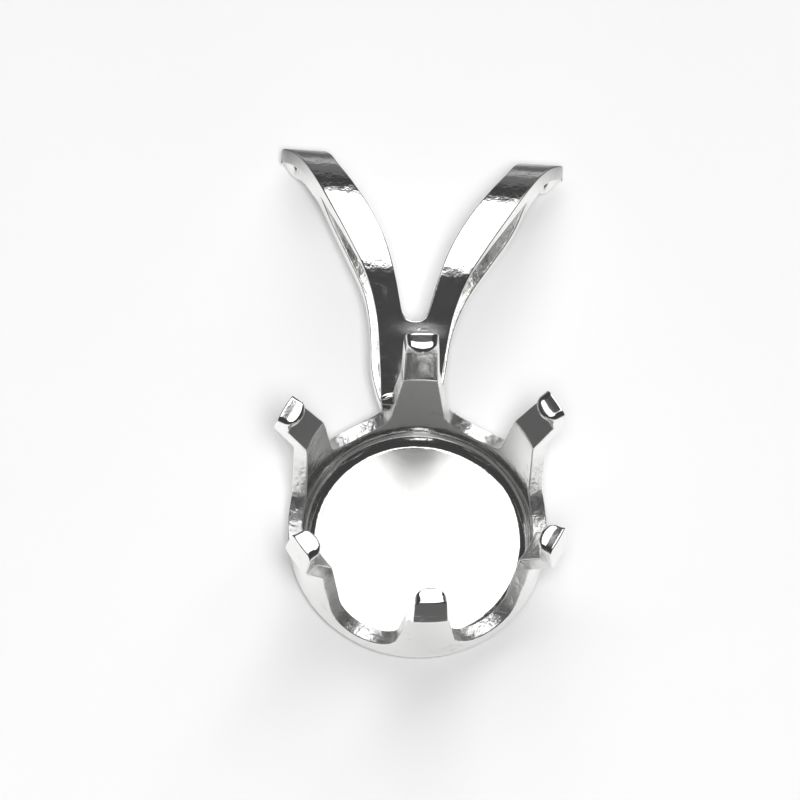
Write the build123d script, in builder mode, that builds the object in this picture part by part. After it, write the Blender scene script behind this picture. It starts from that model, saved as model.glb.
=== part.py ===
from build123d import *
from math import acos, cos, degrees, radians, sin, tan
import os

# Pendant setting: a drawn sheet-metal cup with six snap-in prongs, and a
# folded V-shaped bail soldered to the outside of the cup behind one prong.
# Millimetres and degrees. The origin is the centre of the cup's underside,
# +Z is up out of the cup and +Y runs from the cup towards the bail.

# Sheet and cup
sheet = 0.45               # thickness of the sheet that cup and bail are made of
floor_radius = 3.0         # flat part of the cup's floor
corner_radius = 0.42       # inside radius between floor and wall
wall_flare = 3.3           # lean of the wall outwards, from upright
valley_height = 1.29       # lowest point of the scallops between the prongs

# Prongs
shoulder_height = 2.1      # where a prong's side leaves the scallop
shoulder_half = 0.87       # half width of a prong at the shoulder
crease_height = 4.2        # where the prong is bent outwards
crease_half = 0.585        # half width at the crease
knee_lean = 30.0           # lean outwards between crease and knee
knee_length = 1.14         # length between crease and knee, on the outside
tip_lean = 14.0            # lean back inwards above the knee
tip_length = 0.98          # length between knee and tip, on the outside
tip_half = 0.49            # half width at the tip
nose_radius = 0.57         # round inner side of the tip, about its outer face
nose_height = 0.62         # height of the nose that holds the girdle down

# Bail
tongue_height = 1.62       # underside of the bail above the table, at its root
leaf_rise = 15.0           # rise of the front leaf away from the cup
leaf_straight = 3.9        # straight part of the front leaf
fold_reach = 11.77         # middle of the fold, from the cup's axis
fold_radius = 0.66         # outside radius of the fold
fold_lift = 0.19           # space between the fold and the table
back_radius = 2.7          # bend of the back leaf towards the fold
ear_half = 4.25            # half of the distance across the two ears
crotch_half = 0.36         # half width of the gap at the bottom of the V
bail_turn = -3.0           # the bail sits a little askew on the cup
bail_shift = -0.48         # and a little to one side
ear_round = 0.25           # rounding of an ear's inner corner at the fold
tip_round = 0.12           # rounding of an ear's outer corner
solder_radius = 0.3        # fillet of solder between bail and cup

# One row for each prong: its place round the cup, how much further it leans
# outwards than knee_lean and tip_lean say, and how far its tip leans sideways,
# anticlockwise seen from above. The real prongs are set by hand.
PRONGS = [
    # azimuth, out, side
    (31.5, 2.5, -7.5),
    (90.3, 1.0, 0.0),
    (151.0, 4.5, 9.5),
    (215.0, 1.0, 0.0),
    (273.0, -2.0, 0.0),
    (331.5, 6.5, -2.0),
]

# Outline of the bail seen from above, the same for both leaves: one row for
# each station, as a share of the way from the root to the fold, and the edge
# of an ear there as a share of ear_half.
OUTER_EDGE = [
    # along, out
    (0.00, 0.200),
    (0.20, 0.243),
    (0.34, 0.289),
    (0.45, 0.373),
    (0.57, 0.503),
    (0.68, 0.628),
    (0.77, 0.722),
    (0.86, 0.815),
    (0.94, 0.915),
    (1.00, 1.000),
]
INNER_EDGE = [
    # along, out
    (0.34, 0.104),
    (0.45, 0.161),
    (0.57, 0.241),
    (0.68, 0.351),
    (0.77, 0.456),
    (0.86, 0.572),
    (0.94, 0.642),
    (1.00, 0.700),
]
crotch_share = 0.271       # bottom of the V, on the same way

# Worked out from the sizes above
corner_outside = corner_radius + sheet
slope = tan(radians(wall_flare))
wall_foot = corner_outside * (1 - sin(radians(wall_flare)))
wall_foot_radius = floor_radius + corner_outside * cos(radians(wall_flare))


def wall_radius(height):
    """Outside radius of the wall at a height above its foot."""
    return wall_foot_radius + (height - wall_foot) * slope


def inner(corner, before, after):
    """Inside corner of the sheet, opposite an outside corner.

    before and after are the leans outwards, in degrees, of the sheet below and
    above the corner.
    """
    below, above = radians(before), radians(after)
    nx = -cos(below) - cos(above)
    nz = sin(below) + sin(above)
    size = 1 + cos(below - above)
    return corner[0] + sheet * nx / size, corner[1] + sheet * nz / size


crease_radius = wall_radius(crease_height)
crease_inside = crease_radius - sheet / cos(radians(wall_flare))
side_reach = 2 * (crease_radius + knee_length)


def prong_plane(azimuth, height):
    """Plane across a prong: x along its width, y up, z outwards."""
    turn = radians(azimuth)
    outwards = Vector(cos(turn), sin(turn), 0)
    across = Vector(-sin(turn), cos(turn), 0)
    return Plane(origin=Vector(0, 0, height), x_dir=across, z_dir=outwards)


def radial_plane(azimuth):
    """Upright plane through the cup's axis: x outwards, y up."""
    turn = radians(azimuth)
    outwards = Vector(cos(turn), sin(turn), 0)
    across = Vector(sin(turn), -cos(turn), 0)
    return Plane(origin=Vector(0, 0, 0), x_dir=outwards, z_dir=across)


def make_web(azimuth, gap_before, gap_after):
    """Room that a prong keeps of the wall, from scallop to scallop."""
    valley_radius = wall_radius(valley_height)
    right = valley_radius * sin(radians(gap_before / 2))
    left = valley_radius * sin(radians(gap_after / 2))
    rise = shoulder_height - valley_height
    with BuildPart() as web:
        with BuildSketch(prong_plane(azimuth, 0)):
            with BuildLine():
                Polyline(
                    (-right, valley_height),
                    (-right, wall_foot),
                    (left, wall_foot),
                    (left, valley_height),
                )
                EllipticalCenterArc(
                    (left, shoulder_height), left - shoulder_half, rise,
                    start_angle=180, arc_size=90,
                )
                Polyline(
                    (shoulder_half, shoulder_height),
                    (crease_half, crease_height),
                    (-crease_half, crease_height),
                    (-shoulder_half, shoulder_height),
                )
                EllipticalCenterArc(
                    (-right, shoulder_height), right - shoulder_half, rise,
                    start_angle=270, arc_size=90,
                )
            make_face()
        extrude(amount=side_reach)
    return web.part


def drift_at_nose(drift, rise):
    """Sideways place of the nose's middle, in the nose's own plane."""
    return -drift * (rise - nose_height / 2) / rise


def make_tip(azimuth, out, side):
    """Upper part of a prong: from the crease over the knee to the nose."""
    knee_angle = knee_lean + out
    tip_angle = -tip_lean + out
    crease = (crease_radius, crease_height)
    knee = (
        crease[0] + knee_length * sin(radians(knee_angle)),
        crease[1] + knee_length * cos(radians(knee_angle)),
    )
    tip = (
        knee[0] + tip_length * sin(radians(tip_angle)),
        knee[1] + tip_length * cos(radians(tip_angle)),
    )
    rise = tip[1] - crease_height
    drift = rise * tan(radians(side))
    end = (
        tip[0] - sheet * cos(radians(tip_angle)),
        tip[1] + sheet * sin(radians(tip_angle)),
    )
    along = Vector(sin(radians(tip_angle)), cos(radians(tip_angle)), 0)
    inwards = Vector(-along.Y, along.X, 0)
    top = Vector(tip[0], tip[1], 0)
    nose_foot = top - along * nose_height
    profile_plane = radial_plane(azimuth)
    nose_origin = profile_plane.from_local_coords(nose_foot)
    nose_up = profile_plane.from_local_coords(nose_foot + along) - nose_origin
    nose_in = profile_plane.from_local_coords(nose_foot + inwards) - nose_origin
    nose_plane = Plane(origin=nose_origin, x_dir=nose_in, z_dir=nose_up)
    with BuildPart() as upper:
        with BuildSketch(profile_plane):
            with BuildLine():
                Polyline(
                    (crease_inside, crease_height),
                    crease,
                    knee,
                    tip,
                    end,
                    inner(knee, knee_angle, tip_angle),
                    inner(crease, wall_flare, knee_angle),
                    close=True,
                )
            make_face()
        revolve(axis=Axis.Z)
        # The nose is a thicker end, later made round on its inner side
        with BuildSketch(nose_plane):
            with Locations((sheet / 2, 0)):
                Rectangle(
                    nose_radius - sheet / 2, 2 * (tip_half + abs(drift)),
                    align=(Align.MIN, Align.CENTER),
                )
        extrude(amount=nose_height)
        with BuildSketch(prong_plane(azimuth, crease_height)):
            Polygon(
                (-crease_half, 0),
                (crease_half, 0),
                (drift + tip_half, rise + sheet),
                (drift - tip_half, rise + sheet),
                align=None,
            )
        extrude(amount=side_reach, mode=Mode.INTERSECT)
        with BuildSketch(nose_plane):
            with Locations((sheet / 2, 0)):
                Rectangle(
                    2 * nose_radius, 2 * side_reach,
                    align=(Align.MIN, Align.CENTER),
                )
            with Locations((0, drift_at_nose(drift, rise))):
                Circle(nose_radius, mode=Mode.SUBTRACT)
        extrude(amount=nose_height + sheet, mode=Mode.SUBTRACT)
    return upper.part


webs = []
tips = []
for index, (azimuth, out, side) in enumerate(PRONGS):
    gap_before = (azimuth - PRONGS[index - 1][0]) % 360
    gap_after = (PRONGS[(index + 1) % len(PRONGS)][0] - azimuth) % 360
    webs.append(make_web(azimuth, gap_before, gap_after))
    tips.append(make_tip(azimuth, out, side))

# Room kept for the cup: everything below the scallops, and the prongs' webs
with BuildPart() as room:
    Cylinder(
        side_reach, valley_height + sheet,
        align=(Align.CENTER, Align.CENTER, Align.MAX),
    )
room_part = Pos(0, 0, valley_height) * room.part

with BuildPart() as cup:
    lean = radians(wall_flare)
    centre = (floor_radius, corner_outside)
    with BuildSketch(Plane.XZ):
        with BuildLine():
            Polyline((floor_radius, sheet), (0, sheet), (0, 0), (floor_radius, 0))
            CenterArc(centre, corner_outside, 270, 90 - wall_flare)
            Polyline(
                (wall_foot_radius, wall_foot),
                (crease_radius, crease_height),
                (crease_inside, crease_height),
                (
                    floor_radius + corner_radius * cos(lean),
                    corner_outside - corner_radius * sin(lean),
                ),
            )
            CenterArc(centre, corner_radius, 270, 90 - wall_flare)
        make_face()
    revolve(axis=Axis.Z)
    add(room_part.fuse(*webs), mode=Mode.INTERSECT)
    add(tips)

# Bail: a strip folded over at the ears, its two leaves meeting at the root.
# Here x runs along the bail from the cup's axis, and y is up.
half = sheet / 2
rise = radians(leaf_rise)
root = wall_radius(tongue_height) - half
back_foot = (root, tongue_height + half)
front_foot = (root, back_foot[1] + half + half / cos(rise))
front_end = (
    front_foot[0] + leaf_straight * cos(rise),
    front_foot[1] + leaf_straight * sin(rise),
)
fold = (fold_reach, fold_lift + fold_radius)
fold_middle = fold_radius - half
gap_x = front_end[0] - fold[0]
gap_y = front_end[1] - fold[1]
sunk = gap_x * sin(rise) - gap_y * cos(rise)
arch_radius = (fold_middle ** 2 - gap_x ** 2 - gap_y ** 2) / (2 * (sunk + fold_middle))
arch = (
    front_end[0] + arch_radius * sin(rise),
    front_end[1] - arch_radius * cos(rise),
)
arch_end = degrees(acos((fold[1] - arch[1]) / (arch_radius - fold_middle)))
back_level = tongue_height - back_radius
back_turn = degrees(acos((fold[1] - back_level) / (fold_radius + back_radius)))
back = (
    fold[0] - (fold_radius + back_radius) * sin(radians(back_turn)),
    back_level,
)
fold_sweep = 180 - arch_end + back_turn
reach = fold[0] + fold_radius - root
solder_top = (root + half, front_foot[1] + half / cos(rise) + solder_radius)
solder_toe = (
    root + half + solder_radius,
    front_foot[1] + half / cos(rise) + (half + solder_radius) * tan(rise),
)

across = Vector(cos(radians(bail_turn)), sin(radians(bail_turn)), 0)
forward = Vector(-across.Y, across.X, 0)
side_plane = Plane(origin=Vector(bail_shift, 0, 0), x_dir=forward, z_dir=across)
top_plane = Plane(origin=Vector(bail_shift, 0, 0), x_dir=across, z_dir=Vector(0, 0, 1))

with BuildPart() as bail:
    with BuildSketch(side_plane):
        with BuildLine():
            Line(front_foot, front_end)
            CenterArc(arch, arch_radius, 90 + leaf_rise, -leaf_rise - arch_end)
            CenterArc(fold, fold_middle, 90 - arch_end, -fold_sweep)
            CenterArc(back, back_radius + half, 90 - back_turn, back_turn)
            Line((back[0], back_foot[1]), back_foot)
        trace(line_width=sheet)
        # Solder fills the wedge between the leaves and the corner above them
        with BuildLine():
            Line(back_foot, (solder_toe[0], back_foot[1]))
            Line((solder_toe[0], back_foot[1]), solder_toe)
            RadiusArc(solder_toe, solder_top, solder_radius)
            Line(solder_top, (root, solder_top[1]))
            Line((root, solder_top[1]), back_foot)
        make_face()
    extrude(amount=2 * ear_half, both=True)
    outer = [(out * ear_half, root + along * reach) for along, out in OUTER_EDGE]
    inner_edge = [(out * ear_half, root + along * reach) for along, out in INNER_EDGE]
    crotch = root + crotch_share * reach
    with BuildSketch(top_plane):
        with BuildLine():
            Spline(outer)
            Line(outer[-1], inner_edge[-1])
            Spline([(crotch_half, crotch + crotch_half)] + inner_edge)
            RadiusArc((crotch_half, crotch + crotch_half), (0, crotch), crotch_half)
            Line((0, crotch), (0, root))
            Line((0, root), outer[0])
        make_face()
        ends = vertices().group_by(Axis.Y)[-1].sort_by(Axis.X)
        fillet(ends[0], ear_round)
        fillet(ends[-1], tip_round)
        mirror(about=Plane.YZ)
    extrude(amount=front_end[1] + arch_radius, mode=Mode.INTERSECT)

# Cup and bail are soldered, so they are one solid
with BuildPart() as setting:
    add(cup.part)
    add(bail.part)

setting.part.label = "prong_setting"
os.makedirs("parts", exist_ok=True)
export_step(setting.part, "parts/prong_setting.step")
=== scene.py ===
"""Pronged cup pendant with a V-shaped bail, in polished sheet silver.

The sheet pieces are surfaces worked out on grids. A point of a sheet has three
coordinates: how far across the sheet it is, how far along it, and how deep, from 0
on the outside to 1 on the inside. The cut edges are bands carried along the rims.
Lengths are in metres and angles in radians.
"""

import math

import bmesh
import bpy
import numpy as np
from bpy.props import FloatProperty, FloatVectorProperty, PointerProperty
from mathutils import Matrix, Vector


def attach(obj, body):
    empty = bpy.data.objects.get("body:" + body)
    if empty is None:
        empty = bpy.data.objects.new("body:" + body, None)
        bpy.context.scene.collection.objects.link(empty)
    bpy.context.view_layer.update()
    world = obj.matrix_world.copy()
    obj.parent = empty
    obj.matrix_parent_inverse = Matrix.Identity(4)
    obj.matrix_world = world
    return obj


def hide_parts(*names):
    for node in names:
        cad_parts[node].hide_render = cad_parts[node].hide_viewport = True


bl_info = {
    "name": "Pronged Cup Pendant",
    "version": (1, 0, 0),
    "blender": (4, 5, 0),
    "location": "View3D > Sidebar > Pendant",
    "description": "Builds a sheet-metal prong setting with a folded bail and its stage",
    "category": "Add Mesh",
}

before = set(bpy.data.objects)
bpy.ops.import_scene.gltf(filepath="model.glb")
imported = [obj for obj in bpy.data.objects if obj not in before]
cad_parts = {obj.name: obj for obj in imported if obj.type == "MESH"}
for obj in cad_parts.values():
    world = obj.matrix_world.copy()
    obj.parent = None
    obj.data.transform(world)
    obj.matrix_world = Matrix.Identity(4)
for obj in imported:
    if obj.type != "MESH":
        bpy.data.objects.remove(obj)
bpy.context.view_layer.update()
CAD_NODE = "prong_setting"
BODY = "root"

MM = 0.001
UP = np.array([0.0, 0.0, 1.0])

# Grid points round a rounded corner or a cut edge's rounding, and across a cut face.
ROUND_POINTS = 8
FACE_POINTS = 12

# Noise cells to a metre in the finish of the metal and on the floor.
WAVES = 700.0
PEEL = 4800.0
SPOTS = 1500.0
CHIPS = 3400.0
FLOOR_TONE = 180.0

# Corners of a prong's side view, counted from the cup's axis.
FLOOR_CORNER, SHOULDER, CREASE, KNEE, TIP = range(1, 6)

# One row for each prong: its place round the cup, how much further it leans outwards
# than the sizes say, how far its tip leans sideways, anticlockwise from above, how much
# longer it is, how far its end slants down anticlockwise, and how much shorter it is on
# the inner side. Degrees and millimetres.
PRONGS = [
    # azimuth, out, side, longer, slant, bevel
    (31.5, 5.0, -5.5, 0.10, 8.5, 0.12),
    (90.3, -0.5, 0.0, 0.00, 0.0, 0.00),
    (151.0, 4.5, 9.5, 0.05, 0.0, 0.00),
    (215.0, 1.0, 0.0, 0.00, 0.0, 0.00),
    (273.0, -2.0, 0.0, 0.00, 0.0, 0.00),
    (331.5, 6.5, -2.0, 0.12, 0.0, 0.09),
]

# Edges of an ear: share of the way from the root to the middle of the fold, measured
# on the strip, and share of half the distance across the two ears.
OUTER_EDGE = [
    # along, out
    (0.00, 0.200),
    (0.15, 0.232),
    (0.30, 0.285),
    (0.40, 0.365),
    (0.50, 0.496),
    (0.60, 0.632),
    (0.70, 0.748),
    (0.80, 0.848),
    (0.90, 0.940),
    (0.96, 1.000),
    (1.00, 1.036),
]
INNER_EDGE = [
    # along, out
    (0.25, 0.078),
    (0.29, 0.092),
    (0.33, 0.114),
    (0.40, 0.155),
    (0.50, 0.237),
    (0.60, 0.355),
    (0.70, 0.485),
    (0.80, 0.600),
    (0.90, 0.665),
    (1.00, 0.720),
]

# How the back leaf differs from the front one: share of the way from the cup's axis to
# the fold, its shift to the right, and how much wider it is on the left and right. All
# but the share are in millimetres.
BACK_LEAF = [
    # along, shift, left, right
    (0.28, 0.00, -0.10, -0.05),
    (0.33, 0.00, 0.10, 0.04),
    (0.38, -0.02, 0.20, 0.10),
    (0.46, -0.04, 0.16, 0.10),
    (0.62, 0.04, 0.06, 0.04),
    (0.80, 0.12, 0.00, -0.08),
    (0.86, 0.10, -0.06, -0.20),
    (0.90, 0.07, -0.03, -0.21),
    (0.92, 0.05, 0.00, -0.20),
    (0.945, 0.03, -0.12, -0.26),
    (0.965, 0.02, -0.24, -0.28),
    (1.00, 0.00, -0.18, -0.18),
]


def length(name, text, millimetres):
    """A length property, given in millimetres and held in metres."""
    return FloatProperty(
        name=name,
        description=text,
        default=millimetres * MM,
        precision=5,
        subtype="DISTANCE",
        unit="LENGTH",
    )


def angle(name, text, degrees):
    """An angle property, given in degrees and held in radians."""
    return FloatProperty(
        name=name,
        description=text,
        default=math.radians(degrees),
        subtype="ANGLE",
        unit="ROTATION",
    )


def position(name, text, millimetres):
    """A place property, given in millimetres and held in metres."""
    return FloatVectorProperty(
        name=name,
        description=text,
        default=[value * MM for value in millimetres],
        subtype="TRANSLATION",
        unit="LENGTH",
    )


def factor(name, text, value, top=1.0):
    """A plain number property."""
    return FloatProperty(name=name, description=text, default=value, min=0.0, max=top)


def colour(name, text, value):
    """A colour property."""
    return FloatVectorProperty(
        name=name, description=text, default=value, subtype="COLOR", size=3, min=0.0, max=1.0
    )


class SheetSizes(bpy.types.PropertyGroup):
    """The sheet that cup and bail are made of"""

    thickness: length("Thickness", "Thickness of the sheet", 0.45)
    edge_round: length("Edge rounding", "Radius that polishing leaves on cut edges", 0.04)
    convex_bend: length("Outer bend", "Radius on the outer side of a sharp bend", 0.16)
    concave_bend: length("Inner bend", "Radius on the inner side of a sharp bend", 0.05)


class CupSizes(bpy.types.PropertyGroup):
    """The drawn cup and its six prongs"""

    floor_radius: length("Floor radius", "Radius of the flat floor", 3.0)
    corner_radius: length("Corner radius", "Inside radius between floor and wall", 0.42)
    wall_flare: angle("Wall flare", "Lean of the wall outwards", 3.3)
    valley_height: length("Valley height", "Lowest point of the scallops", 1.29)
    shoulder_height: length("Shoulder height", "Where a prong leaves the scallop", 2.1)
    shoulder_half: length("Shoulder half width", "Half width at the shoulder", 0.87)
    crease_height: length("Crease height", "Where a prong bends outwards", 4.2)
    crease_half: length("Crease half width", "Half width at the crease", 0.585)
    knee_lean: angle("Knee lean", "Lean outwards between crease and knee", 30.0)
    knee_length: length("Knee length", "Length between crease and knee", 1.14)
    tip_lean: angle("Tip lean", "Lean back inwards above the knee", 14.0)
    tip_length: length("Tip length", "Length between knee and tip", 0.98)
    tip_half: length("Tip half width", "Half width at the tip", 0.49)
    tip_round: length("Tip rounding", "Rounding of the tip's corners", 0.2)
    tip_edge: length("Tip edge rounding", "Rounding of the tip's inner edges", 0.08)
    tip_lip: length("Tip lip", "Height of the lip at the tip's inner edge", 0.03)
    nose_radius: length("Nose radius", "Round inner side of the tip", 0.62)
    nose_height: length("Nose height", "Height of the nose at the tip", 0.62)


class BailSizes(bpy.types.PropertyGroup):
    """The folded bail with its two ears"""

    tongue_height: length("Tongue height", "Underside of the bail at its root", 1.62)
    leaf_rise: angle("Leaf rise", "Rise of the front leaf from the cup", 15.0)
    leaf_straight: length("Straight part", "Straight part of the front leaf", 3.9)
    fold_reach: length("Fold reach", "Middle of the fold from the cup's axis", 11.96)
    fold_radius: length("Fold radius", "Outside radius of the fold", 0.47)
    fold_lift: length("Fold lift", "Space between the fold and the table", 0.39)
    back_radius: length("Back bend", "Bend of the back leaf towards the fold", 2.1)
    press_length: length("Pressed part", "Where the leaves close up towards the fold", 1.0)
    ear_half: length("Ear half width", "Half of the distance across the ears", 4.21)
    crotch_depth: length("Crotch depth", "Height of the V's rounded bottom", 0.4)
    crotch_share: factor("Crotch place", "Bottom of the V on the way to the fold", 0.25)
    turn: angle("Turn", "How far the bail is askew on the cup", -3.0)
    shift: length("Shift", "How far the bail sits to the right", -0.48)
    fold_round: length("Fold rounding", "Rounding of the ears' corners", 0.16)
    lead: length("Lead", "How far both leaves run on inside the wall", 0.07)
    solder_radius: length("Solder radius", "Fillet of solder at the root", 0.16)


class FinishSettings(bpy.types.PropertyGroup):
    """Finish of the metal"""

    metal: colour("Metal", "Colour of the polished metal", (0.93, 0.93, 0.92))
    dull: colour("Tarnish", "Colour of the dull spots", (0.72, 0.72, 0.72))
    polish: factor("Polish", "Roughness of polished faces", 0.1)
    dulled: factor("Dulled", "Roughness that a dull spot adds", 0.12)
    satin: factor("Satin", "Roughness of the cup's floor", 0.36)
    whiteness: factor("Whiteness", "Share of the cup's floor that doesn't mirror", 0.12)
    cut: factor("Cut faces", "Roughness of cut edges", 0.36)
    bites: factor("Bites", "Strength of the bites in sheared edges", 0.7)
    waviness: factor("Waviness", "Strength of the unevenness of polished faces", 0.12)
    peel: factor("Orange peel", "Strength of the grain on bent sheet", 0.9)


class StageSettings(bpy.types.PropertyGroup):
    """Camera, light and floor"""

    view_tilt: angle("View tilt", "Angle of the view from straight down", 23.0)
    view_roll: angle("View roll", "Roll of the part in the picture", 2.0)
    frame_width: length("Frame width", "Width of what the camera sees", 24.08)
    aim_right: length("Aim right", "Middle of the frame to the right of the axis", -0.482)
    aim_up: length("Aim up", "Middle of the frame above the axis", 4.425)
    distance: length("Distance", "Distance of the camera", 400.0)
    floor: colour("Floor", "Colour of the floor", (0.86, 0.86, 0.86))
    lamp_place: position("Lamp place", "Middle of the lamp over the floor", (5, -165, 410))
    lamp_aim: position("Lamp aim", "Point that the lamp faces", (0, 3, 0))
    lamp_size: length("Lamp size", "Side of the square lamp", 90.0)
    floor_light: factor("Floor light", "Power of the lamp over the floor", 1.42, 1000.0)
    panel_light: factor("Panel light", "Brightness of the white panel", 2.1, 100.0)


def smooth_curve(table, x):
    """Cubic Hermite curve through the rows of a table, with central slopes."""
    knots = np.array(table, float)
    xs, ys = knots[:, 0], knots[:, 1]
    slopes = np.gradient(ys, xs)
    x = np.clip(x, xs[0], xs[-1])
    k = np.clip(np.searchsorted(xs, x) - 1, 0, len(xs) - 2)
    step = xs[k + 1] - xs[k]
    t = (x - xs[k]) / step
    rise = ys[k + 1] - ys[k]
    a, b = slopes[k] * step, slopes[k + 1] * step
    return ys[k] + t * (a + t * (3 * rise - 2 * a - b + t * (a + b - 2 * rise)))


def ease(x):
    """Smooth step from 0 to 1: x squared times (3 minus 2 x)."""
    x = np.clip(x, 0, 1)
    return x * x * (3 - 2 * x)


def unit(vectors):
    """Vectors of length one."""
    return vectors / np.maximum(np.linalg.norm(vectors, axis=-1, keepdims=True), 1e-12)


class Surface:
    """Collects grids of points and joins them into one closed mesh"""

    def __init__(self):
        self.points, self.faces, self.marks, self.count = [], [], [], 0

    def grid(self, points, mark):
        """Adds a grid of points (rows, columns, 3) and its quads.

        mark gives each point's values of the attributes cut, satin and bent, in a
        shape that spreads over the grid.
        """
        rows, columns = points.shape[:2]
        index = np.arange(rows * columns).reshape(rows, columns) + self.count
        quads = (index[:-1, :-1], index[1:, :-1], index[1:, 1:], index[:-1, 1:])
        self.faces.append(np.stack(quads, -1).reshape(-1, 4))
        self.points.append(points.reshape(-1, 3))
        self.marks.append(np.broadcast_to(mark, (rows, columns, 3)).reshape(-1, 3))
        self.count += rows * columns

    def make(self, name):
        """Makes the mesh object: merges doubles, closes the ends, faces outwards."""
        double, least = 2e-7, 1e-8
        points = np.concatenate(self.points)
        faces = np.concatenate(self.faces)
        marks = np.concatenate(self.marks)
        mesh = bpy.data.meshes.new(name)
        mesh.from_pydata(points, [], faces)
        for column, label in enumerate(("cut", "satin", "bent")):
            layer = mesh.attributes.new(label, "FLOAT", "POINT")
            layer.data.foreach_set("value", np.ascontiguousarray(marks[:, column], np.float32))
        work = bmesh.new()
        work.from_mesh(mesh)
        bmesh.ops.remove_doubles(work, verts=work.verts, dist=double)
        bmesh.ops.dissolve_degenerate(work, edges=work.edges, dist=least)
        rims = [edge for edge in work.edges if edge.is_boundary]
        bmesh.ops.holes_fill(work, edges=rims, sides=0)
        bmesh.ops.recalc_face_normals(work, faces=work.faces)
        work.to_mesh(mesh)
        work.free()
        mesh.polygons.foreach_set("use_smooth", np.ones(len(mesh.polygons), bool))
        mesh.update()
        piece = bpy.data.objects.new(name, mesh)
        bpy.context.scene.collection.objects.link(piece)
        return piece


def edge_section(thickness, outer, inner, lip=0.0):
    """Section of a cut edge at each point of a rim: distance outwards and depth.

    A quarter circle of the outer rounding's radius, the straight cut face, and a
    quarter circle of the inner rounding's radius. A lip is added to it, which rises
    softly over the second half of the depth and falls back at the inner edge.
    """
    lip_start, lip_rise, lip_fall = 0.45, 0.35, 0.15
    turn = np.linspace(0, math.pi / 2, ROUND_POINTS)
    back, deep = np.sin(turn) - 1, (1 - np.cos(turn)) / thickness
    first, last = deep * outer[:, None], 1 - deep[::-1] * inner[:, None]
    share = np.linspace(0, 1, FACE_POINTS + 2)[1:-1]
    middle = first[:, -1:] + share * (last[:, :1] - first[:, -1:])
    outs = [back * outer[:, None], np.zeros(middle.shape), back[::-1] * inner[:, None]]
    outs, depths = np.concatenate(outs, 1), np.concatenate([first, middle, last], 1)
    swell = ease((depths - lip_start) / lip_rise) * ease((1 - depths) / lip_fall)
    return outs + np.reshape(lip, (-1, 1)) * swell, depths


def outward(chain, first, last):
    """Unit normals of a rim drawn anticlockwise round its sheet, on its right hand.

    The rim's direction turned by a right angle, with given normals at both ends.
    """
    along = unit(np.gradient(chain, axis=0))
    normals = np.stack([along[:, 1], -along[:, 0]], -1)
    normals[0] = first
    normals[-1] = last
    return normals


def add_band(surface, place, chain, normals, section, cut):
    """Carries the section of a cut edge along a rim.

    A point is the rim's point plus its normal times the section's distance outwards.
    cut says how rough the edge is, except where it meets the sheet.
    """
    outs, depths = section
    flat = chain[:, None, :] + outs[..., None] * normals[:, None, :]
    rough = cut[:, None] * np.ones(outs.shape[1])
    rough[:, [0, -1]] = 0
    none = np.zeros_like(rough)
    surface.grid(place(flat[..., 0], flat[..., 1], depths), np.stack([rough, none, none], -1))


def bent_profile(corners, leans, depth, radii, samples):
    """Side view of a bent sheet at one depth, as radius and height of its points.

    corners is the outer side's polyline and leans the lean of each run from
    upright, outwards. A corner moves inwards by depth times (minus the cosines of
    both leans, their sines) over one plus the cosine of the turn. Each corner is
    then rounded by an arc of its radius, which begins radius times the tangent of
    half the turn before it. Every corner gives the same number of points.
    """
    before = np.concatenate([leans[:1], leans])
    after = np.concatenate([leans, leans[-1:]])
    turn = after - before
    step = np.stack([-np.cos(before) - np.cos(after), np.sin(before) + np.sin(after)], -1)
    points = corners + depth * step / (1 + np.cos(turn))[:, None]
    reach = radii * np.tan(abs(turn) / 2)
    start = points - reach[:, None] * np.stack([np.sin(before), np.cos(before)], -1)
    lean = before[:, None] + turn[:, None] * np.linspace(0, 1, samples)
    bow = np.stack(
        [np.cos(before)[:, None] - np.cos(lean), np.sin(lean) - np.sin(before)[:, None]], -1
    )
    arcs = start[:, None] + (np.sign(turn) * radii)[:, None, None] * bow
    return arcs.reshape(-1, 2)


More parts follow.
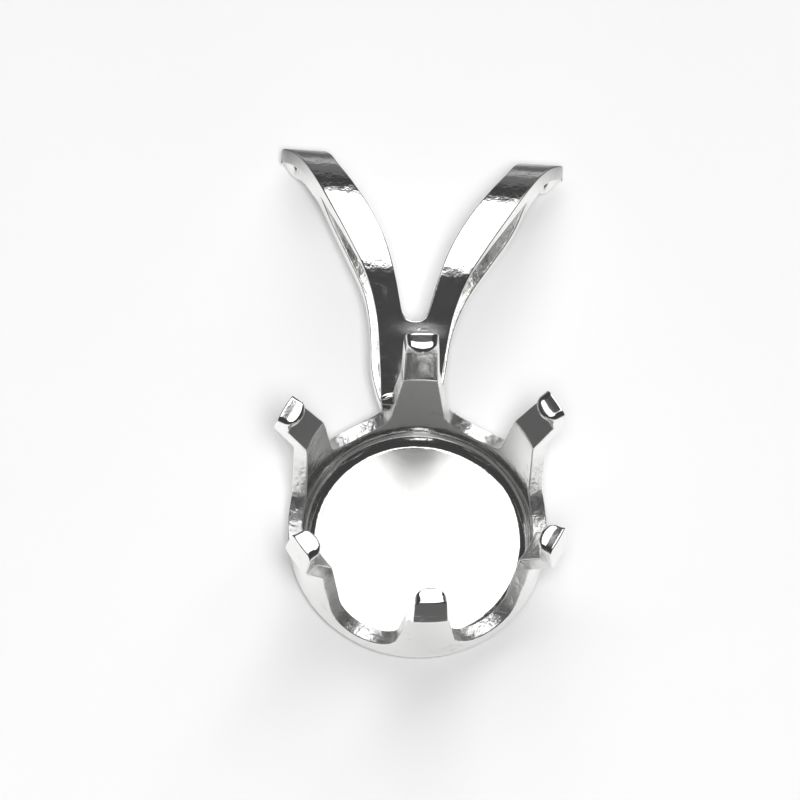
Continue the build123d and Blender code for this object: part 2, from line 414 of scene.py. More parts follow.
class Prong:
    """One sixth of the cup, with its prong

    Its side view is a polyline from the axis over floor corner, shoulder, crease and
    knee to the tip, rounded at the corners. samples is the number of points of each
    rounding, and scallop_rows the number of rows up the scallop. run is the distance
    along the outer side at each point, and bends is the same with a row per corner.
    """

    samples = 12
    scallop_rows = 25

    def __init__(self, sheet, cup, azimuth, out, side, longer, slant, bevel):
        self.sheet, self.cup, self.bevel = sheet, cup, bevel * MM
        self.azimuth = math.radians(azimuth)
        self.side = math.radians(side)
        self.slant = math.tan(math.radians(slant))
        flare, thick = cup.wall_flare, sheet.thickness
        outside = cup.corner_radius + thick
        foot = outside * (1 - math.sin(flare))
        foot_radius = cup.floor_radius + outside * math.cos(flare)
        knee_lean = cup.knee_lean + math.radians(out)
        self.tip_lean = math.radians(out) - cup.tip_lean
        leans = np.array([math.pi / 2, flare, flare, knee_lean, self.tip_lean])
        heights = np.array([0, cup.shoulder_height, cup.crease_height])
        wall = np.stack([foot_radius + (heights - foot) * math.tan(flare), heights], -1)
        knee = wall[2] + cup.knee_length * np.array([math.sin(knee_lean), math.cos(knee_lean)])
        reach = cup.tip_length + longer * MM
        tip = knee + reach * np.array([math.sin(self.tip_lean), math.cos(self.tip_lean)])
        corners = np.array([(0, 0), *wall, knee, tip])
        small, large = sheet.concave_bend, sheet.convex_bend
        radii = np.array([0, outside, 0, small, large, 0])
        self.outer = bent_profile(corners, leans, 0, radii, self.samples)
        radii = np.array([0, cup.corner_radius, 0, large, small, 0])
        self.inner = bent_profile(corners, leans, thick, radii, self.samples)
        least = 1e-10
        steps = np.linalg.norm(np.diff(self.outer, axis=0), axis=1) + least
        self.run = np.concatenate([[0], np.cumsum(steps)])
        self.bends = self.run.reshape(-1, self.samples)
        self.index = np.arange(len(self.run))
        self.tip_height = tip[1]

    def at(self, along, side):
        """Radius and height on one side of the sheet, at a distance along it.

        Past the end it goes straight on.
        """
        k = np.interp(along, self.run, self.index)
        beyond = np.maximum(along - self.run[-1], 0)
        radius = np.interp(k, self.index, side[:, 0]) + beyond * math.sin(self.tip_lean)
        return radius, np.interp(k, self.index, side[:, 1]) + beyond * math.cos(self.tip_lean)

    def place(self, turn, along, depth):
        """Points of the sheet.

        A point lies between the outer and the inner side at its depth, at the angle
        turn from the prong's middle. Above the crease it is shifted sideways by its
        height over the crease times the tangent of the side lean. At the nose the
        inner side is a circle round the middle of the outer face, and the end is
        lowered by the slant times the distance across, and by the bevel times the
        depth.
        """
        nose_start = 0.2 * MM
        above = along - self.run[-1] + self.cup.nose_height
        lower = self.slant * (turn * self.reference(along) + self.cup.tip_half)
        lower = lower + self.bevel * depth
        along = along - lower * ease(above / self.cup.nose_height)
        radius, height = self.at(along, self.outer)
        radius_in, height_in = self.at(along, self.inner)
        across = np.clip(abs(turn * radius), 0, 0.999 * self.cup.nose_radius)
        swell = np.sqrt(self.cup.nose_radius**2 - across**2) / self.sheet.thickness - 1
        rising = ease(above / nose_start) * np.maximum(swell, 0)
        falling = ease(above / self.cup.nose_height) * np.minimum(swell, 0)
        depth = depth * (1 + rising + falling)
        radius = radius + depth * (radius_in - radius)
        height = height + depth * (height_in - height)
        drift = np.maximum(height - self.cup.crease_height, 0) * math.tan(self.side)
        azimuth = self.azimuth + turn
        x = radius * np.cos(azimuth) - drift * math.sin(self.azimuth)
        y = radius * np.sin(azimuth) + drift * math.cos(self.azimuth)
        return np.stack([x, y, height], -1)

    def reference(self, along):
        """Radius that turns a distance across into an angle, even below the shoulder."""
        return self.at(np.maximum(along, self.bends[SHOULDER, 0]), self.outer)[0]

    def place_flat(self, across, along, depth):
        """The same, for a distance across on the outer side instead of an angle."""
        return self.place(across / self.reference(along), along, depth)

    def rows(self):
        """Distance along at the scallop's bottom, and at the rows from there to the tip.

        The rows are even between the bends, and follow a cosine up the scallop and a
        sine round the tip's corners.
        """
        bends = self.bends
        valley = np.interp(self.cup.valley_height, self.outer[:, 1], self.run)
        scallop = 1 - np.cos(np.linspace(0, math.pi / 2, self.scallop_rows))
        corner = np.sin(np.linspace(0, math.pi / 2, ROUND_POINTS)) - 1
        end = bends[TIP, 0]
        nose = end - self.cup.nose_height
        pieces = [
            valley + (bends[SHOULDER, 0] - valley) * scallop,
            np.linspace(bends[SHOULDER, -1], bends[CREASE, 0], 10)[1:-1],
            bends[CREASE],
            np.linspace(bends[CREASE, -1], bends[KNEE, 0], 8)[1:-1],
            bends[KNEE],
            np.linspace(bends[KNEE, -1], nose, 5)[1:-1],
            np.linspace(nose, end - self.cup.tip_round, 14)[:-1],
            end + corner * self.cup.tip_round,
        ]
        return valley, np.concatenate(pieces)

    def rim(self, half_gap):
        """Rim of one side, from the scallop's bottom to the tip: across and along.

        The scallop is a quarter of an ellipse, the prong's sides are straight from
        the shoulder to the crease and from there to the tip, and the tip's corners
        are rounded.
        """
        cup = self.cup
        valley, along = self.rows()
        radius, height = self.at(along, self.outer)
        sector = self.at(valley, self.outer)[0] * math.sin(half_gap)
        half = np.interp(
            height,
            [cup.shoulder_height, cup.crease_height, self.tip_height],
            [cup.shoulder_half, cup.crease_half, cup.tip_half],
        )
        scallop = np.sin(np.linspace(0, math.pi / 2, self.scallop_rows))
        half[: self.scallop_rows] = sector - (sector - cup.shoulder_half) * scallop
        corner = np.cos(np.linspace(0, math.pi / 2, ROUND_POINTS))
        half[-ROUND_POINTS:] -= (1 - corner) * cup.tip_round
        across = self.reference(along) * np.arcsin(half / radius)
        across[0] = self.reference(along[0]) * half_gap
        return np.stack([across, along], -1)


def add_prong(surface, prong, gap_before, gap_after):
    """Adds one sixth of the cup: the floor and wall below, the prong and its edges.

    Floor and wall are a fan of even turns round the axis, and the prong is ruled
    straight across between its two rims, less the rounding of the edges. Over a
    short fade the edges get rounder at the nose and smoother below the crease, and
    the satin ends at the floor's rim.
    """
    nose_fade, cut_fade, satin_fade = 0.25 * MM, 0.8 * MM, 0.1 * MM
    smoothed = 0.8
    columns = 33
    sheet, cup = prong.sheet, prong.cup
    right, left = prong.rim(gap_after / 2), prong.rim(gap_before / 2)
    crease = prong.bends[CREASE, 0]
    nose = ease((right[:, 1] - prong.run[-1] + cup.nose_height) / nose_fade)
    small = np.full(len(right), sheet.edge_round)
    large = sheet.edge_round + nose * (cup.tip_edge - sheet.edge_round)
    cut = 1 - smoothed * ease((right[:, 1] - crease + cut_fade) / cut_fade)
    right_out = outward(right, (0, 1), (0, 1))
    left_out = outward(left, (0, 1), (0, 1)) * (-1, 1)
    left = left * (-1, 1)
    share = np.linspace(0, 1, columns)[:, None]
    first, last = prong.bends[FLOOR_CORNER, [0, -1]]
    for depth, rounding in ((0.0, small), (1.0, large)):
        left_in = left - rounding[:, None] * left_out
        right_in = right - rounding[:, None] * right_out
        upper = left_in[:, None] * (1 - share) + right_in[:, None] * share
        turn = upper[0, :, 0] / prong.reference(upper[0, :, 1])
        along = np.concatenate(
            [
                np.linspace(0, first, 10)[:-1],
                np.linspace(first, last, 20)[:-1],
                np.linspace(last, upper[0, 0, 1], 6)[:-1],
            ]
        )
        turn = np.broadcast_to(turn, (len(along), turn.size))
        along = np.broadcast_to(along[:, None], turn.shape)
        beyond = prong.at(along, prong.outer)[0] - cup.floor_radius
        low = prong.place(turn, along, depth)
        top = prong.place_flat(upper[..., 0], upper[..., 1], depth)
        satin = ease((satin_fade - beyond) / satin_fade) * depth
        satin = np.concatenate([satin, np.zeros(top.shape[:2])])
        none = np.zeros_like(satin)
        mark = np.stack([none, satin, none], -1)
        surface.grid(np.concatenate([low, top]), mark)
    across = (left[-1] * (1 - share) + right[-1] * share)[1:-1][::-1]
    chain = np.concatenate([right, across, left[::-1]])
    normals = np.concatenate([right_out, np.tile([[0.0, 1.0]], (len(across), 1)), left_out[::-1]])
    small, large, cut, nose = (
        np.concatenate([side, np.full(len(across), side[-1]), side[::-1]])
        for side in (small, large, cut, nose)
    )
    ahead = 0.3
    lip = cup.tip_lip * nose * ease((normals[:, 1] - ahead) / (1 - ahead))
    section = edge_section(sheet.thickness, small, large, lip)
    add_band(surface, prong.place_flat, chain, normals, section, cut)


class Strip:
    """The bail's strip: its path from the front root over the fold to the back root

    The path is a straight front leaf, an arch bending down, the fold, the bend of the
    back leaf and a straight run to the back root. The arch is the circle that touches
    both the front leaf and the fold. The strip's heading runs evenly between these
    parts' ends, called knots, and the path adds up its cosines and sines. The path has
    path_points points, and root_rows and crotch_rows are the rows of the root and of
    the V's bottom. tip_bend is how far down the strip points at an ear's corner.
    """

    path_points = 6001
    root_rows = 15
    crotch_rows = 24
    tip_bend = math.radians(105)

    def __init__(self, sheet, cup, bail):
        self.sheet, self.bail = sheet, bail
        half = sheet.thickness / 2
        rise = bail.leaf_rise
        outside = cup.corner_radius + sheet.thickness
        foot = outside * (1 - math.sin(cup.wall_flare))
        wall = cup.floor_radius + outside * math.cos(cup.wall_flare)
        self.wall = wall + (bail.tongue_height - foot) * math.tan(cup.wall_flare)
        root = self.wall - half
        low = bail.tongue_height + half
        ahead = np.array([math.cos(rise), math.sin(rise)])
        start = np.array([root, low + half + half / math.cos(rise)])
        end = start + bail.leaf_straight * ahead
        fold = np.array([bail.fold_reach, bail.fold_lift + bail.fold_radius])
        middle = bail.fold_radius - half
        gap = end - fold
        sunk = gap[0] * math.sin(rise) - gap[1] * math.cos(rise)
        arch = (middle**2 - gap @ gap) / (2 * (sunk + middle))
        arch_height = end[1] - arch * math.cos(rise)
        arch_end = math.acos((fold[1] - arch_height) / (arch - middle))
        back_level = bail.tongue_height - bail.back_radius
        back_turn = math.acos((fold[1] - back_level) / (bail.fold_radius + bail.back_radius))
        back_start = fold[0] - (bail.fold_radius + bail.back_radius) * math.sin(back_turn)
        sweep = math.pi - arch_end + back_turn
        lengths = [
            bail.lead + bail.leaf_straight,
            arch * (rise + arch_end),
            middle * sweep,
            (bail.back_radius + half) * back_turn,
            back_start - root + bail.lead,
        ]
        self.knots = np.concatenate([[0], np.cumsum(lengths)])
        heading = np.array([rise, rise, -arch_end, -arch_end - sweep, -math.pi, -math.pi])
        self.run = np.linspace(0, self.knots[-1], self.path_points)
        self.heading = np.interp(self.run, self.knots, heading)
        between = (self.heading[1:] + self.heading[:-1]) / 2
        steps = np.diff(self.run)[:, None] * np.stack([np.cos(between), np.sin(between)], -1)
        steps = np.concatenate([[start - bail.lead * ahead], steps])
        self.path = np.cumsum(steps, axis=0)
        self.arch_start, self.fold_start, self.fold_end = self.knots[1:4]
        self.fold_run = (self.fold_start + self.fold_end) / 2
        self.tip_run = np.interp(self.tip_bend, -self.heading, self.run)
        self.reach = fold[0] + bail.fold_radius
        self.press = self.pressing(fold[0] - bail.press_length)
        self.across = np.array([math.cos(bail.turn), math.sin(bail.turn), 0])
        self.forward = np.array([-self.across[1], self.across[0], 0])
        self.origin = np.array([bail.shift, 0, 0])

    def pressing(self, start):
        """How far the back leaf is pressed upwards, at each point of the path.

        The space between the leaves' inner sides less a slit, and softly from
        nothing over the first part of the way from start to the fold.
        """
        slit = 0.01 * MM
        soft = 0.7 * self.bail.press_length
        normal = np.stack([np.sin(self.heading), -np.cos(self.heading)], -1)
        inner = self.path + self.sheet.thickness / 2 * normal
        turning = np.argmax(inner[:, 0])
        space = np.interp(inner[:, 0], inner[:turning, 0], inner[:turning, 1]) - inner[:, 1]
        space[:turning] = 0
        return ease((inner[:, 0] - start) / soft) * np.maximum(space - slit, 0)

    def behind(self, along):
        """0 on the front leaf and 1 on the back leaf, softly past the fold's middle."""
        return ease((along - self.fold_run) / (0.5 * MM))

    def share(self, along):
        """Share of the way from the root to the fold, for both leaves.

        On the front leaf it is the length along the strip. The back leaf has the
        share of the front leaf's point above it, once it is clear of the fold. A
        hyperbola rounds the turn between the two, and with it the ears' corners.
        """
        gap = along - self.tip_run
        soft = np.sqrt(gap**2 + self.bail.fold_round**2) - self.bail.fold_round
        rising = self.run < np.interp(math.pi / 2, -self.heading, self.run)
        reach = np.interp(self.tip_run + soft, self.run, self.path[:, 0])
        above = np.interp(reach, self.path[rising, 0], self.run[rising])
        front = np.where(gap < 0, self.tip_run - soft, np.minimum(above, self.tip_run))
        return (front - self.bail.lead) / (self.fold_run - self.bail.lead)

    def edges(self, along, side):
        """Distance from the middle line of the outer and the inner rim of one ear.

        Each is its table's share of half the distance across the ears, and the back
        leaf's outer rim has its own margin added.
        """
        share = self.share(along)
        outer = smooth_curve(OUTER_EDGE, share) * self.bail.ear_half
        inner = smooth_curve(INNER_EDGE, share) * self.bail.ear_half
        reach = np.interp(along, self.run, self.path[:, 0]) / self.reach
        margins = [(row[0], row[3 if side > 0 else 2] * MM) for row in BACK_LEAF]
        return outer + self.behind(along) * smooth_curve(margins, reach), inner

    def place(self, across, along, depth):
        """Points of the sheet: the path moved sideways, and by depth along its normal.

        Near the fold the back leaf is pressed up against the front one.
        """
        a = np.interp(along, self.run, self.path[:, 0])
        z = np.interp(along, self.run, self.path[:, 1])
        heading = np.interp(along, self.run, self.heading)
        shifts = [(row[0], row[1] * MM) for row in BACK_LEAF]
        across = across + self.behind(along) * smooth_curve(shifts, a / self.reach)
        z = z + np.interp(along, self.run, self.press)
        lift = (0.5 - depth) * self.sheet.thickness
        a = a - lift * np.sin(heading)
        z = z + lift * np.cos(heading)
        flat = across[..., None] * self.across + a[..., None] * self.forward
        return self.origin + flat + z[..., None] * UP

    def rows(self):
        """Rims of one ear as matching rows, and how open the V is in each of them.

        Gives the distance along at the outer rim and at the inner one, and the share
        of the inner rim's distance from the middle. That is 0 at the roots and 1 in
        the open V, and the V's rounded bottom is a superellipse. The outer rim's rows
        start a little below that bottom, so that the rows fan out round it.
        """
        bulge = 2.6
        spread = 1.5
        low = 0.12 * MM
        spare = 0.03 * MM
        bail = self.bail
        bottom = bail.lead + bail.crotch_share * (self.fold_run - bail.lead)
        back = self.knots[-1] - np.interp(bottom, self.run, self.path[:, 0] - self.path[0, 0])
        curve = np.linspace(0, math.pi / 2, self.crotch_rows)
        sag = bail.crotch_depth * (1 - np.cos(curve))
        level = np.linspace(0, 1, self.crotch_rows) ** spread
        level = (bail.crotch_depth + low) * level - low
        square = (1 - np.cos(curve) ** bulge) ** (1 / bulge)
        middle = np.concatenate(
            [
                np.linspace(bottom + bail.crotch_depth, self.fold_start, 50)[1:-1],
                np.linspace(self.fold_start, self.fold_end, 44)[:-1],
                np.linspace(self.fold_end, back - bail.crotch_depth, 44)[:-1],
            ]
        )
        share = np.linspace(0, 1, self.root_rows)
        rims = []
        for rise, gap in ((level, low + spare), (sag, 1.5 * self.sheet.edge_round)):
            root = share * (bottom - gap)
            end = self.knots[-1] - share[::-1] * (self.knots[-1] - back - gap)
            rims.append(np.concatenate([root, bottom + rise, middle, back - rise[::-1], end]))
        closed = np.zeros(self.root_rows)
        opening = [closed, square, np.ones(len(middle)), square[::-1], closed]
        return *rims, np.concatenate(opening)


def add_ear(surface, strip, side):
    """Adds one half of the bail: both leaves of an ear with its edges.

    The leaves are ruled straight across between their rims, less the rounding of the
    edges. A rough spot marks solder that crept out of the V, as a bell curve in both
    directions, whose place and squared widths are in millimetres. The attribute bent
    begins softly where the front leaf's arch does.
    """
    columns = 25
    edge_cut = 0.4
    spot_place, spot_wide, spot_high = 0.25, 0.4, 0.05
    bent_lead, bent_fade = 0.3 * MM, 0.9 * MM
    rounding = strip.sheet.edge_round
    along_out, along_in, opening = strip.rows()
    outer, _ = strip.edges(along_out, side)
    _, inner = strip.edges(along_in, side)
    outer_rim = np.stack([outer, along_out], -1)
    inner_rim = np.stack([inner * opening, along_in], -1)
    out_normals = outward(outer_rim, (1, 0), (1, 0))
    open_rows = slice(strip.root_rows, len(opening) - strip.root_rows)
    in_normals = np.zeros_like(inner_rim)
    in_normals[open_rows] = -outward(inner_rim[open_rows], (0, -1), (0, 1))
    outer_in = outer_rim - rounding * out_normals
    inner_in = inner_rim - rounding * in_normals
    share = np.linspace(0, 1, columns)[None, :, None]
    flat = inner_in[:, None] * (1 - share) + outer_in[:, None] * share

    def place(across, along, depth):
        return strip.place(side * across, along, depth)

    right = side * flat[..., 0] / MM - spot_place
    ahead = (flat[..., 1] - along_in[strip.root_rows]) / MM + spot_place
    rough = np.exp(-(right**2) / spot_wide - ahead**2 / spot_high)
    bent = ease((flat[..., 1] - strip.arch_start + bent_lead) / bent_fade)
    for depth in (0.0, 1.0):
        mark = np.stack([rough * (1 - depth), np.zeros_like(rough), bent], -1)
        surface.grid(place(flat[..., 0], flat[..., 1], depth), mark)
    for rim, normals in ((outer_rim, out_normals), (inner_rim[open_rows], in_normals[open_rows])):
        radii = np.full(len(rim), rounding)
        section = edge_section(strip.sheet.thickness, radii, radii)
        add_band(surface, place, rim, normals, section, np.full(len(rim), edge_cut))


def add_solder(surface, strip, radius):
    """Adds the solder in the corner between the front leaf and the cup's wall.

    Its section is a concave quarter circle that touches leaf and wall, closed
    inside the metal. The radius wanders with two sines and fades at the ends, by
    the root of 1 minus the sixth power of the share across.
    """
    root, spare = 0.3 * MM, 0.02 * MM
    columns = 61
    half = strip.edges(np.array([root]), 1)[0][0] + spare
    across = np.linspace(-1, 1, columns)
    wander = 1 + 0.14 * np.sin(5 * across + 0.6) + 0.05 * np.sin(13 * across)
    size = radius * wander * np.sqrt(np.maximum(1 - across**6, 0))
    wall = np.sqrt(strip.wall**2 - (across * half + strip.origin[0]) ** 2)
    rise = strip.bail.leaf_rise
    thick = strip.sheet.thickness
    start = strip.path[0]
    top = start[1] + (wall - start[0]) * math.tan(rise) + thick / 2 / math.cos(rise)
    turn = np.linspace(0, math.pi / 2, 12)
    sunk = -0.35
    arc_a = np.concatenate([1 - np.cos(turn)[::-1], [sunk, sunk, sunk, 0.6, 1.0]])
    arc_z = np.concatenate([1 - np.sin(turn)[::-1], [0.9, 0.4, sunk, sunk, sunk]])
    order = np.concatenate([np.arange(len(arc_a)), [0]])
    a = wall[:, None] + size[:, None] * arc_a[order]
    z = top[:, None] + size[:, None] * arc_z[order] + (a - wall[:, None]) * math.tan(rise)
    flat = (across * half)[:, None, None] * strip.across + a[..., None] * strip.forward
    surface.grid(strip.origin + flat + z[..., None] * UP, np.zeros(3))


class Nodes:
    """Short way to write a node tree"""

    def __init__(self, tree):
        self.tree = tree
        tree.nodes.clear()

    def add(self, kind, inputs=None, **settings):
        """Adds a node, sets its fields and fills its sockets by name or number."""
        node = self.tree.nodes.new(kind)
        for key, value in settings.items():
            setattr(node, key, value)
        for key, value in (inputs or {}).items():
            if isinstance(value, bpy.types.NodeSocket):
                self.tree.links.new(value, node.inputs[key])
            else:
                node.inputs[key].default_value = value
        return node

    def math(self, operation, first, second):
        """A Math node's value."""
        node = self.add("ShaderNodeMath", {0: first, 1: second}, operation=operation)
        return node.outputs[0]

    def blend(self, share, first, second):
        """A number between two numbers, by a share."""
        node = self.add("ShaderNodeMix", {0: share, 2: first, 3: second}, data_type="FLOAT")
        return node.outputs[0]

    def blend_colour(self, share, first, second):
        """A colour between two colours, by a share."""
        node = self.add("ShaderNodeMix", {0: share, 6: first, 7: second}, data_type="RGBA")
        return node.outputs[2]

    def ramp(self, value, low, high, low_out=0.0, high_out=1.0):
        """A smooth step from low_out to high_out."""
        node = self.add(
            "ShaderNodeMapRange",
            {0: value, 1: low, 2: high, 3: low_out, 4: high_out},
            interpolation_type="SMOOTHSTEP",
        )
        return node.outputs[0]

    def noise(self, vector, scale, detail=2.0, roughness=0.5, distortion=0.0):
        """A noise texture's value."""
        node = self.add(
            "ShaderNodeTexNoise",
            {
                "Vector": vector,
                "Scale": scale,
                "Detail": detail,
                "Roughness": roughness,
                "Distortion": distortion,
            },
        )
        return node.outputs[0]


def rgba(values):
    """A colour with full alpha."""
    return (*values, 1.0)


def make_silver(name, finish, waviness=1.0):
    """Polished sheet silver.

    Broad and fine noise bend the reflections a little, and another noise dulls the
    polish in spots and makes the fine noise stronger there. The attribute cut marks
    the sheared edges, which are rougher and bitten by a noise of their own, satin
    marks the cup's brushed floor, and bent marks the sheet that bending has left
    with an orange peel. waviness multiplies the strength of the unevenness.
    """
    material = bpy.data.materials.new(name)
    material.use_nodes = True
    nodes = Nodes(material.node_tree)
    place = nodes.add("ShaderNodeTexCoord").outputs["Object"]
    cut = nodes.add("ShaderNodeAttribute", attribute_name="cut").outputs["Fac"]
    satin = nodes.add("ShaderNodeAttribute", attribute_name="satin").outputs["Fac"]
    bent = nodes.add("ShaderNodeAttribute", attribute_name="bent").outputs["Fac"]
    wave_depth, bite_depth = 0.12 * MM, 0.09 * MM
    broad = nodes.noise(place, WAVES, 2.0)
    fine = nodes.noise(place, PEEL, 3.0, 0.6)
    spots = nodes.noise(place, SPOTS, 4.0, 0.65, 0.4)
    chips = nodes.noise(place, CHIPS, 3.0, 0.55, 0.6)
    polished = nodes.math("SUBTRACT", 1.0, satin)
    dull = nodes.math("MULTIPLY", nodes.ramp(spots, 0.56, 0.78), polished)
    tint = nodes.blend_colour(dull, rgba(finish.metal), rgba(finish.dull))
    roughness = nodes.blend(dull, finish.polish, finish.polish + finish.dulled)
    roughness = nodes.blend(satin, roughness, finish.satin)
    roughness = nodes.blend(cut, roughness, finish.cut)
    patchy = nodes.ramp(spots, 0.42, 0.62, 0.16, 0.5)
    peel = nodes.math("ADD", patchy, nodes.math("MULTIPLY", bent, finish.peel))
    ragged = nodes.math("MULTIPLY", nodes.math("SUBTRACT", fine, 0.5), peel)
    waves = nodes.math("ADD", broad, ragged)
    white = nodes.math("MULTIPLY", satin, finish.whiteness)
    bump = nodes.add(
        "ShaderNodeBump",
        {"Strength": finish.waviness * waviness, "Distance": wave_depth, "Height": waves},
    )
    bites = nodes.add(
        "ShaderNodeBump",
        {
            "Strength": nodes.ramp(cut, 0.75, 1.0, 0.0, finish.bites),
            "Distance": bite_depth,
            "Height": chips,
            "Normal": bump.outputs[0],
        },
    )
    shader = nodes.add(
        "ShaderNodeBsdfPrincipled",
        {
            "Base Color": tint,
            "Metallic": nodes.math("SUBTRACT", 1.0, white),
            "Roughness": roughness,
            "Normal": bites.outputs[0],
        },
    )
    nodes.add("ShaderNodeOutputMaterial", {"Surface": shader.outputs[0]})
    return material


def finish_piece(piece, material):
    """Gives a new piece its material, its place in the frame and its slot."""
    piece.data.materials.append(material)
    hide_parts(CAD_NODE)
    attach(piece, BODY)


class PENDANT_OT_cup(bpy.types.Operator):
    """Makes the drawn cup with its six prongs"""

    bl_idname = "pendant.cup"
    bl_label = "Cup"

    def execute(self, context):
        scene = context.scene
        surface = Surface()
        azimuths = [row[0] for row in PRONGS]
        for index, (azimuth, *shape) in enumerate(PRONGS):
            before = math.radians((azimuth - azimuths[index - 1]) % 360)
            after = math.radians((azimuths[(index + 1) % len(PRONGS)] - azimuth) % 360)
            prong = Prong(scene.pendant_sheet, scene.pendant_cup, azimuth, *shape)
            add_prong(surface, prong, before, after)
        piece = surface.make("prong_cup")
        finish_piece(piece, make_silver("cup_silver", scene.pendant_finish))
        return {"FINISHED"}


class PENDANT_OT_bail(bpy.types.Operator):
    """Makes the folded bail with its two ears"""

    bl_idname = "pendant.bail"
    bl_label = "Bail"

    def execute(self, context):
        scene = context.scene
        surface = Surface()
        strip = Strip(scene.pendant_sheet, scene.pendant_cup, scene.pendant_bail)
        for side in (-1, 1):
            add_ear(surface, strip, side)
        piece = surface.make("folded_bail")
        finish_piece(piece, make_silver("bail_silver", scene.pendant_finish))
        return {"FINISHED"}


class PENDANT_OT_solder(bpy.types.Operator):
    """Makes the solder at the root of the bail"""

    bl_idname = "pendant.solder"
    bl_label = "Solder"

    def execute(self, context):
        scene = context.scene
        surface = Surface()
        strip = Strip(scene.pendant_sheet, scene.pendant_cup, scene.pendant_bail)
        add_solder(surface, strip, scene.pendant_bail.solder_radius)
        piece = surface.make("solder_fillet")
        finish_piece(piece, make_silver("solder_silver", scene.pendant_finish, waviness=3.0))
        return {"FINISHED"}


def make_world(stage):
    """Studio surroundings: a long white panel overhead, and nearly dark beside it.

    Directions are read as the degrees from straight up towards the viewer's side, and
    the share to the right. Each edge of the panel is a soft step between the two
    values given for it, from dark to bright. The panel leans to the left towards the
    viewer. The camera itself sees plain pale surroundings.
    """
    back_edge, front_edge = (-71.0, -65.0), (1.5, -3.0)
    left_edge, right_edge = (-0.46, -0.38), (0.34, 0.24)
    upright_at, lean = -20.0, 0.0075
    dark = 0.05
    world = bpy.data.worlds.new("studio")
    bpy.context.scene.world = world
    world.use_nodes = True
    nodes = Nodes(world.node_tree)
    parts = nodes.add(
        "ShaderNodeSeparateXYZ", {0: nodes.add("ShaderNodeTexCoord").outputs["Generated"]}
    )
    x, y, z = parts.outputs
    towards = nodes.math("ARCTAN2", nodes.math("MULTIPLY", y, -1.0), z)
    degree = nodes.math("MULTIPLY", towards, 180 / math.pi)
    span = nodes.math("MULTIPLY", nodes.ramp(degree, *back_edge), nodes.ramp(degree, *front_edge))
    slant = nodes.math("MULTIPLY", nodes.math("SUBTRACT", degree, upright_at), lean)
    aside = nodes.math("ADD", x, slant)
    width = nodes.math("MULTIPLY", nodes.ramp(aside, *left_edge), nodes.ramp(aside, *right_edge))
    glow = nodes.blend(nodes.math("MULTIPLY", span, width), dark, stage.panel_light)
    camera = nodes.add("ShaderNodeLightPath").outputs["Is Camera Ray"]
    strength = nodes.blend(camera, glow, 1.0)
    shader = nodes.add(
        "ShaderNodeBackground", {"Color": (1.0, 1.0, 1.0, 1.0), "Strength": strength}
    )
    nodes.add("ShaderNodeOutputWorld", {"Surface": shader.outputs[0]})


def make_lamp(stage):
    """A square soft lamp that lights the floor but isn't mirrored in the metal."""
    light = bpy.data.lights.new("overhead_lamp", "AREA")
    light.size = stage.lamp_size
    light.energy = stage.floor_light
    lamp = bpy.data.objects.new("overhead_lamp", light)
    place = Vector(stage.lamp_place)
    lamp.location = place
    lamp.rotation_mode = "QUATERNION"
    lamp.rotation_quaternion = (Vector(stage.lamp_aim) - place).to_track_quat("-Z", "Y")
    lamp.visible_glossy = False
    lamp.visible_camera = False
    bpy.context.scene.collection.objects.link(lamp)


def make_floor(stage):
    """A wide pale floor with the faintest unevenness.

    In the metal's mirror image the floor is pale only in an oval round the part, as
    if the table ended there, and less pale in a strip behind the bail. The oval's
    middle and half widths scale the place, and the squared distance from the middle
    fades the colour.
    """
    half = 1.5
    wide, deep, middle = 0.013, 0.012, 0.0015
    strip_front, strip_back, soft = 0.016, 0.019, 0.0005
    strip_share = 0.4
    dark = 0.1
    corners = [(-half, -half, 0), (half, -half, 0), (half, half, 0), (-half, half, 0)]
    mesh = bpy.data.meshes.new("floor")
    mesh.from_pydata(corners, [], [(0, 1, 2, 3)])
    floor = bpy.data.objects.new("floor", mesh)
    bpy.context.scene.collection.objects.link(floor)
    material = bpy.data.materials.new("floor")
    material.use_nodes = True
    nodes = Nodes(material.node_tree)
    place = nodes.add("ShaderNodeTexCoord").outputs["Object"]
    tone = nodes.noise(place, FLOOR_TONE, 2.0)
    pale = rgba(stage.floor)
    tint = nodes.blend_colour(tone, pale, rgba([0.985 * part for part in stage.floor]))
    x, y, _ = nodes.add("ShaderNodeSeparateXYZ", {0: place}).outputs
    across = nodes.math("MULTIPLY", x, 1 / wide)
    ahead = nodes.math("MULTIPLY", nodes.math("SUBTRACT", y, middle), 1 / deep)
    squares = [nodes.math("MULTIPLY", part, part) for part in (across, ahead)]
    near = nodes.ramp(nodes.math("ADD", *squares), 1.2, 0.8)
    front = nodes.ramp(y, strip_front - soft, strip_front + soft)
    back = nodes.ramp(y, strip_back + soft, strip_back - soft)
    strip = nodes.math("MULTIPLY", nodes.math("MULTIPLY", front, back), strip_share)
    seen = nodes.math("MAXIMUM", near, strip)
    mirrored = nodes.add("ShaderNodeLightPath").outputs["Is Glossy Ray"]
    dim = nodes.math("MULTIPLY", mirrored, nodes.math("SUBTRACT", 1.0, seen))
    tint = nodes.blend_colour(dim, tint, rgba((dark, dark, dark)))
    shader = nodes.add("ShaderNodeBsdfPrincipled", {"Base Color": tint, "Roughness": 0.7})
    shader.inputs["Specular IOR Level"].default_value = 0.2
    nodes.add("ShaderNodeOutputMaterial", {"Surface": shader.outputs[0]})
    mesh.materials.append(material)


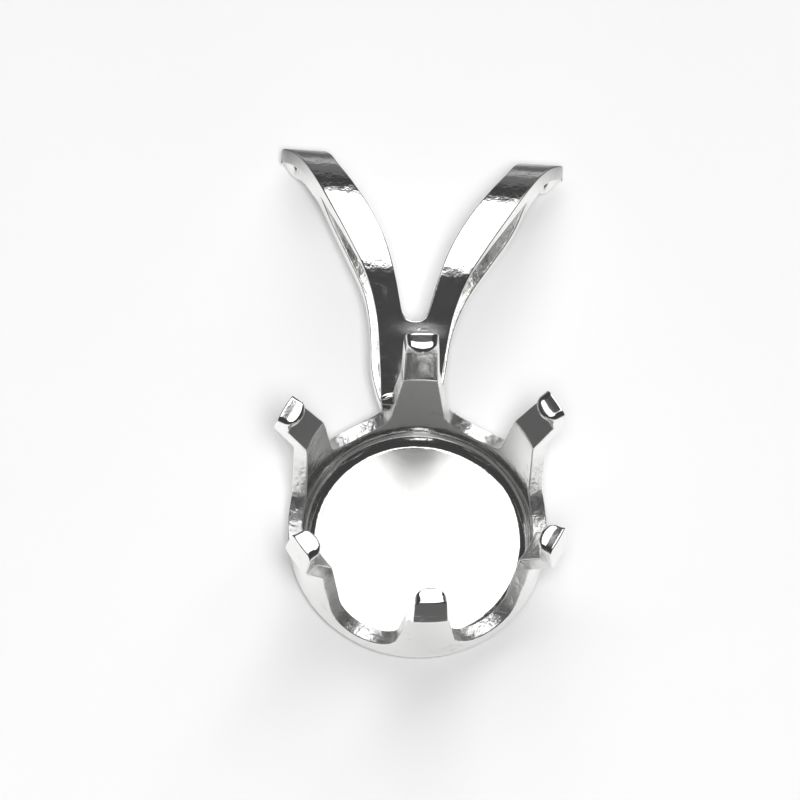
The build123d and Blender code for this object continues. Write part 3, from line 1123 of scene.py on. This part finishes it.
def make_camera(stage):
    """A far camera at the photograph's angle, rolled with the part."""
    tilt, roll = stage.view_tilt, stage.view_roll
    right = Vector((math.cos(roll), 0, math.sin(roll)))
    back = Vector(
        (-math.sin(roll) * math.cos(tilt), -math.sin(tilt), math.cos(roll) * math.cos(tilt))
    )
    up = back.cross(right)
    aim = right * stage.aim_right + up * stage.aim_up
    data = bpy.data.cameras.new("camera")
    data.sensor_width = 36.0
    data.lens = data.sensor_width * stage.distance / stage.frame_width
    data.clip_start, data.clip_end = 0.01, 10.0
    camera = bpy.data.objects.new("camera", data)
    bpy.context.scene.collection.objects.link(camera)
    turn = Matrix((right, up, back)).transposed().to_4x4()
    camera.matrix_world = Matrix.Translation(aim + back * stage.distance) @ turn
    bpy.context.scene.camera = camera


class PENDANT_OT_stage(bpy.types.Operator):
    """Makes the camera, the studio light and the floor"""

    bl_idname = "pendant.stage"
    bl_label = "Stage"

    def execute(self, context):
        stage = context.scene.pendant_stage
        context.scene.view_settings.view_transform = "Standard"
        make_camera(stage)
        make_world(stage)
        make_floor(stage)
        make_lamp(stage)
        return {"FINISHED"}


class PENDANT_PT_panel(bpy.types.Panel):
    """Sizes, finish and stage of the pendant"""

    bl_label = "Pendant"
    bl_idname = "PENDANT_PT_panel"
    bl_space_type = "VIEW_3D"
    bl_region_type = "UI"
    bl_category = "Pendant"

    def draw(self, context):
        scene = context.scene
        for name, kind in GROUPS.items():
            box = self.layout.box()
            box.label(text=kind.__doc__)
            for field in kind.__annotations__:
                box.prop(getattr(scene, name), field)
        for operator in OPERATORS:
            self.layout.operator(operator.bl_idname)


GROUPS = {
    "pendant_sheet": SheetSizes,
    "pendant_cup": CupSizes,
    "pendant_bail": BailSizes,
    "pendant_finish": FinishSettings,
    "pendant_stage": StageSettings,
}
OPERATORS = (PENDANT_OT_stage, PENDANT_OT_cup, PENDANT_OT_bail, PENDANT_OT_solder)
CLASSES = (*GROUPS.values(), *OPERATORS, PENDANT_PT_panel)


def register():
    """Registers the classes and hangs the settings on the scene."""
    for kind in CLASSES:
        bpy.utils.register_class(kind)
    for name, kind in GROUPS.items():
        setattr(bpy.types.Scene, name, PointerProperty(type=kind))


def unregister():
    """Takes the settings and the classes away again."""
    for name in GROUPS:
        delattr(bpy.types.Scene, name)
    for kind in reversed(CLASSES):
        bpy.utils.unregister_class(kind)


def main():
    register()
    bpy.ops.pendant.stage()
    bpy.ops.pendant.cup()
    bpy.ops.pendant.bail()
    bpy.ops.pendant.solder()


if __name__ == "__main__":
    main()
